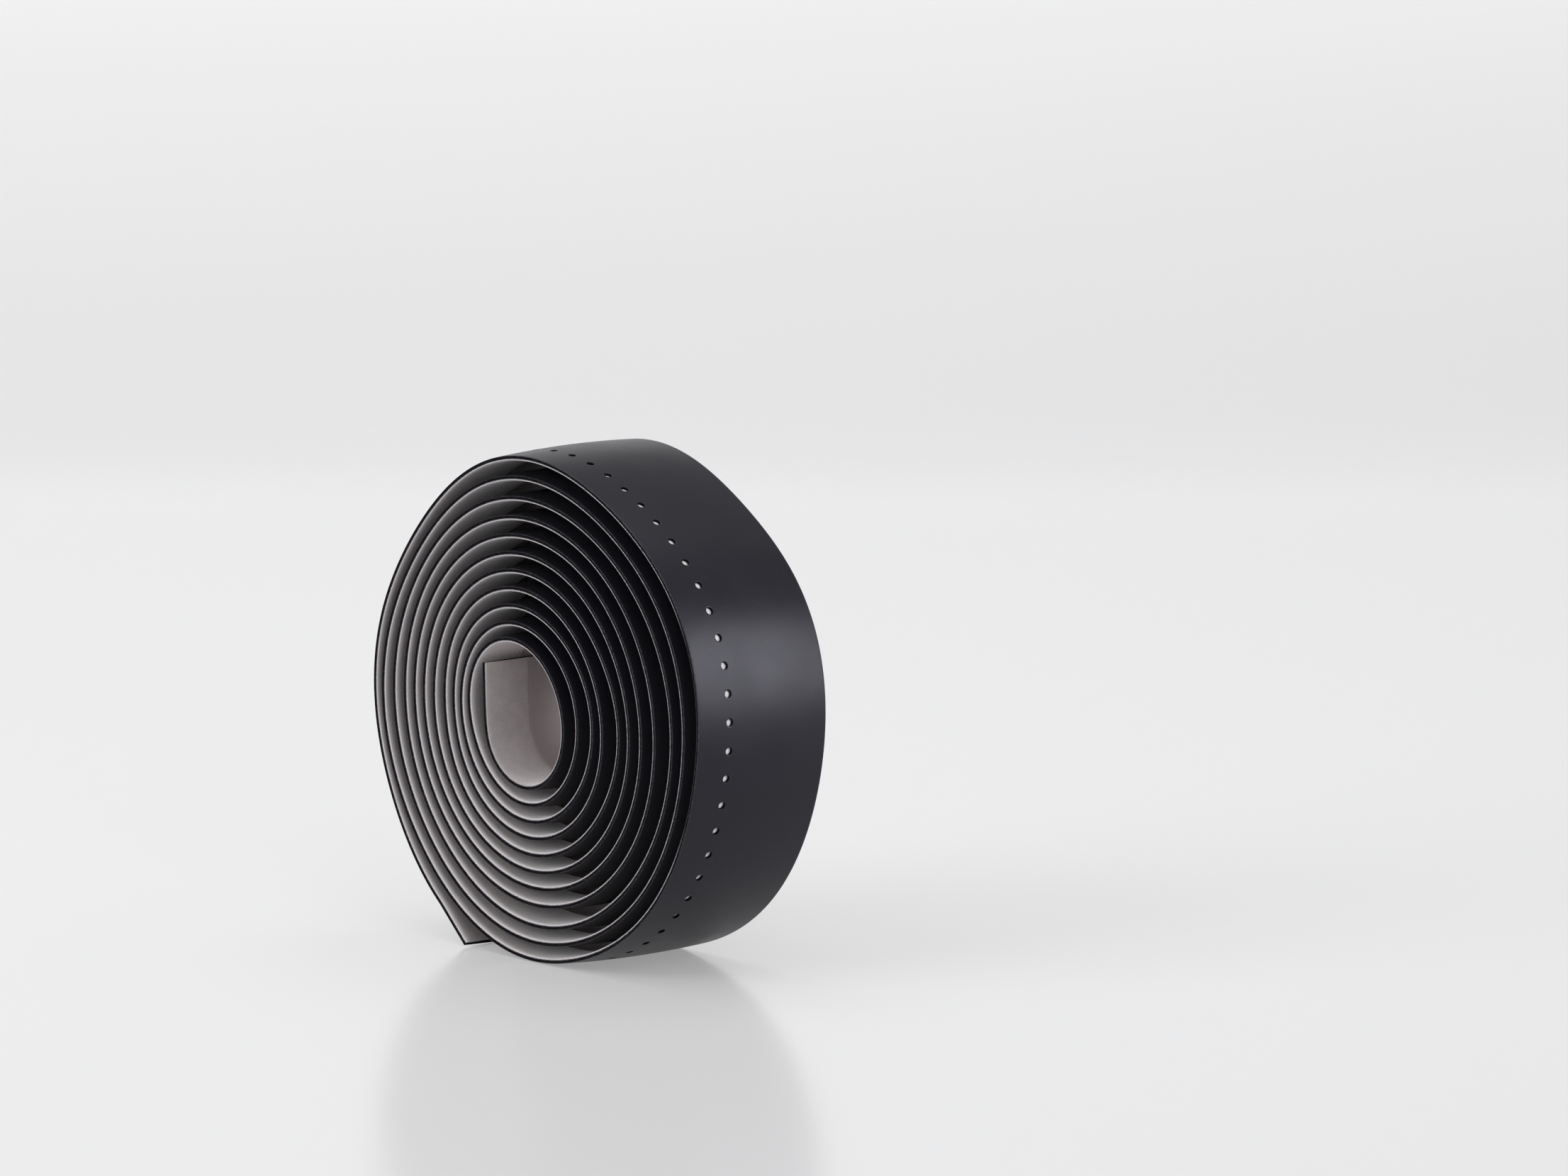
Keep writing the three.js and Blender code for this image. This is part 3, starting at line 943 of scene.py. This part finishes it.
def pale_edge_material(specks, mottle):
    """The backing's cut edge: pale and fibrous, and darker between its fibres on the roll's +X side."""
    material, n, shader = blank_material("pale_edge")
    place = strip_vector(n)
    fibre = n.effect(mottle, Vector=place, Broad=1.4, Fine=0.13)
    flecks = n.effect(specks, Vector=place, Spacing=0.4, Size=0.24, Share=0.3)
    parts = n.split(place)

    # Hollows between the fibres, darker on the +X side, and more of them towards the foam
    on_roll = n.split(n.add("ShaderNodeTexCoord").outputs["Object"])
    plus_x_side = remap(n, on_roll["X"], -0.01, 0.03, 0.0, 1.0)
    hollow = mixed(n, plus_x_side, EDGE_HOLLOWS, EDGE_HOLLOWS_PLUS_X)
    inside = remap(n, parts["Z"], BACK_FACE + EDGE_PINCH, BACKING_TOP, 0.0, 0.22)
    grain = remap(n, n.math("SUBTRACT", fibre["Grain"], inside), 0.2, 0.46, 0.0, 1.0)
    base = mixed(n, grain, hollow, EDGE_PALE)
    flecked = mixed(n, n.math("MULTIPLY", flecks["Mask"], 0.5), base, hollow)

    # The dull stretch at the end in the eye, and the worn one on the outer turn
    dulled = remap(n, parts["X"], DULL_EDGE_FROM, DULL_EDGE_FROM + DULL_EDGE_FADE, 0.0, 0.75)
    dull = mixed(n, dulled, flecked, EDGE_DULL)
    worn = bell(n, n.math("SUBTRACT", parts["X"], WORN_EDGE_AT), WORN_EDGE_SPREAD)
    patchy = n.math("MULTIPLY_ADD", fibre["Grain"], 0.7, worn)
    gone = remap(n, patchy, 0.75, 1.0, 0.0, 1.0)
    n.put(shader.inputs["Base Color"], mixed(n, gone, dull, EDGE_WORN))
    shader.inputs["Roughness"].default_value = 0.9
    shader.inputs["Specular IOR Level"].default_value = 0.1
    n.put(shader.inputs["Normal"], bumped(n, fibre["Grain"], 0.03 * MM))
    return material


def hole_floor_material(mottle):
    """The pale layer seen at the foot of each perforation."""
    material, n, shader = blank_material("perforation_floor")
    fibre = n.effect(mottle, Vector=strip_vector(n), Broad=1.0, Fine=0.15)
    tone = remap(n, fibre["Grain"], 0.35, 0.65, 0.0, 1.0)
    n.put(shader.inputs["Base Color"], mixed(n, tone, HOLE_FLOOR_DARKER, HOLE_FLOOR_LIGHTER))
    shader.inputs["Roughness"].default_value = 0.7
    return material


def liner_material(mottle):
    """Thin smooth film, warm grey, with faint creases across it."""
    material, n, shader = blank_material("liner_film")
    place = strip_vector(n)
    stretched = n.vector("MULTIPLY", place, (1.0, 0.25, 1.0))
    crease = n.effect(mottle, Vector=stretched, Broad=5.0, Fine=1.1)
    parts = n.split(place)
    worked = mixed(n, crease["Tone"], FILM_DARKER, FILM_LIGHTER)
    # Paler round the eye: painted light falling into the eye
    base = mixed(n, painted_eye_light(n, parts["X"]), worked, FILM_PAINTED_EYE_LIGHT)
    edge = LINER_WIDTH / 2
    rim = remap(n, n.math("ABSOLUTE", parts["Y"]), edge - LINER_DARK_BAND, edge, 0.0, 1.0)
    n.put(shader.inputs["Base Color"], mixed(n, rim, base, FILM_RIM))
    shader.inputs["Roughness"].default_value = 0.6
    shader.inputs["Specular IOR Level"].default_value = 0.15
    n.put(shader.inputs["Normal"], bumped(n, crease["Grain"], 0.12 * MM, 0.5))
    return material


def build_roll():
    """The roll's three pieces, in the places of the solid strip and its liner."""
    specks = specks_group()
    mottle = mottle_group()
    skin = skin_material(specks, mottle)
    foam = foam_material(specks, mottle)
    suede = suede_material(specks, mottle)
    pale_edge = pale_edge_material(specks, mottle)
    hole_floor = hole_floor_material(mottle)
    film = liner_material(mottle)
    route = route_group(winding_group())
    cover = wind("tape_cover", strip_cell(cover_section(), True), route, [skin, foam, hole_floor])
    backing = wind("tape_backing", strip_cell(backing_section(), False), route, [suede, pale_edge])
    liner = wind("release_film", strip_cell(liner_section(), False), route, [film])
    for piece in (cover, backing):
        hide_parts("tape")
    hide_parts("release_liner")


# The studio

def sweep_material():
    """Pale floor and paler backdrop with a slight gloss, lifted a little where they are looked at."""
    material, n, shader = blank_material("studio_sweep")
    height = n.split(n.add("ShaderNodeTexCoord").outputs["Object"])["Z"]
    upward = remap(n, height, 0.0, SWEEP_PALE_FROM, 0.0, 1.0)
    n.put(shader.inputs["Base Color"], mixed(n, upward, FLOOR_GREY, BACKDROP_GREY))
    rays = n.add("ShaderNodeLightPath").outputs
    seen = n.total([rays["Is Camera Ray"], rays["Is Glossy Ray"], rays["Is Transmission Ray"]])
    shader.inputs["Emission Color"].default_value = WHITE
    n.put(shader.inputs["Emission Strength"], n.math("MULTIPLY", n.math("MINIMUM", seen, 1.0), FLOOR_LIFT))
    shader.inputs["Roughness"].default_value = 0.2
    shader.inputs["Specular IOR Level"].default_value = 0.1
    return material


def build_sweep():
    """A floor that curves up into a backdrop behind the roll."""
    toward_back = Vector((-math.sin(CAMERA_AZIMUTH), math.cos(CAMERA_AZIMUTH), 0))
    sideways = Vector((math.cos(CAMERA_AZIMUTH), math.sin(CAMERA_AZIMUTH), 0))
    outline = [(SWEEP_FRONT, 0.0), (SWEEP_BEND_AT, 0.0)]
    for i in range(1, SWEEP_BEND_STEPS + 1):
        angle = math.pi / 2 * i / SWEEP_BEND_STEPS
        depth = SWEEP_BEND_AT + SWEEP_BEND_RADIUS * math.sin(angle)
        outline.append((depth, SWEEP_BEND_RADIUS * (1 - math.cos(angle))))
    outline.append((SWEEP_BEND_AT + SWEEP_BEND_RADIUS, SWEEP_TOP))
    bm = bmesh.new()
    rows = []
    for depth, height in outline:
        ends = []
        for side in (-SWEEP_HALF_WIDTH, SWEEP_HALF_WIDTH):
            ends.append(bm.verts.new(toward_back * depth + sideways * side + Vector((0, 0, height))))
        rows.append(ends)
    for near, far in zip(rows, rows[1:]):
        bm.faces.new((near[0], near[1], far[1], far[0])).smooth = True
    mesh = bpy.data.meshes.new("sweep")
    bm.to_mesh(mesh)
    bm.free()
    mesh.materials.append(sweep_material())
    sweep = bpy.data.objects.new("sweep", mesh)
    bpy.context.scene.collection.objects.link(sweep)
    return sweep


def softbox(name, place, target, width, height, power):
    """A rectangular lamp (m, W), turned to its target and out of the camera's sight."""
    lamp = bpy.data.lights.new(name, "AREA")
    lamp.shape = "RECTANGLE"
    lamp.size = width
    lamp.size_y = height
    lamp.energy = power
    holder = bpy.data.objects.new(name, lamp)
    bpy.context.scene.collection.objects.link(holder)
    holder.location = place
    holder.rotation_euler = (Vector(target) - Vector(place)).to_track_quat("-Z", "Y").to_euler()
    holder.visible_camera = False
    return holder


def build_lights(sweep):
    """Five lamps. The front one isn't mirrored, and the one at the right and back spares the sweep, so
    that the floor doesn't glare when it is seen against them."""
    softbox("overhead", (0.0, -0.2, 1.4), ROLL_CENTRE, 2.0, 2.0, 4.3)
    softbox("over_backdrop", (-0.2, 0.25, 1.0), BACKDROP_CENTRE, 1.0, 0.5, 2.1)
    front = softbox("front", (-0.35, -1.4, 0.6), ROLL_CENTRE, 1.0, 1.2, 13.5)
    front.visible_glossy = False
    softbox("right", (1.3, -0.55, 0.7), ROLL_CENTRE, 0.9, 0.9, 4.5)
    right_back = softbox("right_back", (0.93, 0.67, 0.36), ROLL_CENTRE, 0.45, 0.7, 8.4)
    spared = bpy.data.collections.new("spared")
    spared.objects.link(sweep)
    spared.collection_objects[0].light_linking.link_state = "EXCLUDE"
    right_back.light_linking.receiver_collection = spared
    world = bpy.data.worlds.new("studio")
    bpy.context.scene.world = world
    world.use_nodes = True
    background = next(node for node in world.node_tree.nodes if node.type == "BACKGROUND")
    background.inputs["Color"].default_value = ROOM_LIGHT


# The camera

def build_camera():
    """The photograph's camera, placed so that the seen point falls on its pixel."""
    flat = math.cos(CAMERA_ELEVATION)
    back = Vector((
        math.sin(CAMERA_AZIMUTH) * flat,
        -math.cos(CAMERA_AZIMUTH) * flat,
        math.sin(CAMERA_ELEVATION),
    ))
    right = Vector((math.cos(CAMERA_AZIMUTH), math.sin(CAMERA_AZIMUTH), 0))
    up = back.cross(right)
    x = (SEEN_AT[0] - PHOTO_WIDTH / 2) / FOCAL_PIXELS
    y = (PHOTO_HEIGHT / 2 - SEEN_AT[1]) / FOCAL_PIXELS
    data = bpy.data.cameras.new("camera")
    data.sensor_width = SENSOR_WIDTH
    data.lens = SENSOR_WIDTH * FOCAL_PIXELS / PHOTO_WIDTH
    data.clip_start = 0.05
    camera = bpy.data.objects.new("camera", data)
    bpy.context.scene.collection.objects.link(camera)
    place = SEEN_POINT - (-back + right * x + up * y) * CAMERA_DISTANCE
    turned = Matrix((right, up, back)).transposed().to_4x4()
    camera.matrix_world = Matrix.Translation(place) @ turned
    bpy.context.scene.camera = camera


build_camera()
build_lights(build_sweep())
build_roll()
bpy.context.scene.view_settings.view_transform = "Standard"
